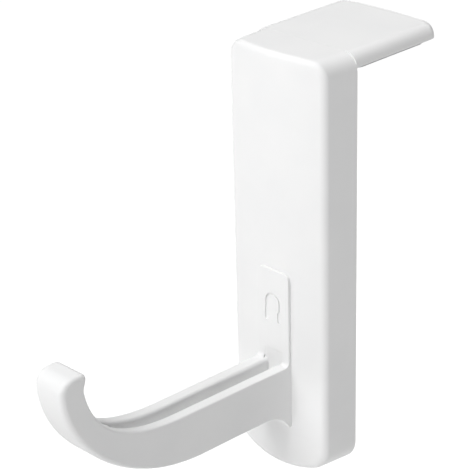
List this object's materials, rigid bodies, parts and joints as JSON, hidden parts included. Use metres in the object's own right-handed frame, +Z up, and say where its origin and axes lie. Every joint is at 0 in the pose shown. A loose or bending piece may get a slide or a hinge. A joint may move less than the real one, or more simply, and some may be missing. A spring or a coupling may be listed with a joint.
{
  "type": "headphone hook",
  "caption": "Hook for headphones that hangs over the top edge of a monitor or desk panel, with a hollow cover, a curled channelled arm and adhesive foam pads.",
  "frame": {"origin": "centre of the adhesive lower face of the ledge pad, which rests on the top edge of the screen or panel", "axes": "+Z up, +Y back over the screen, -Y towards the user where the hook points, +X to the user's right"},
  "size_m": [0.032, 0.1113, 0.109],
  "materials": {
    "white_abs": "satin moulded white ABS with a very fine spark texture",
    "foam_tape": "fine closed-cell double-sided foam tape",
    "zinc_steel": "zinc-plated screw steel"
  },
  "bodies": {
    "root": {"front_cover": "white_abs", "rear_bracket": "white_abs", "hook": "white_abs", "ledge_pad": "foam_tape", "back_pad": "foam_tape", "hook_screw_upper": "zinc_steel", "hook_screw_lower": "zinc_steel", "bracket_screw_upper_left": "zinc_steel", "bracket_screw_upper_right": "zinc_steel", "bracket_screw_lower_left": "zinc_steel", "bracket_screw_lower_right": "zinc_steel"}
  },
  "joints": []
}
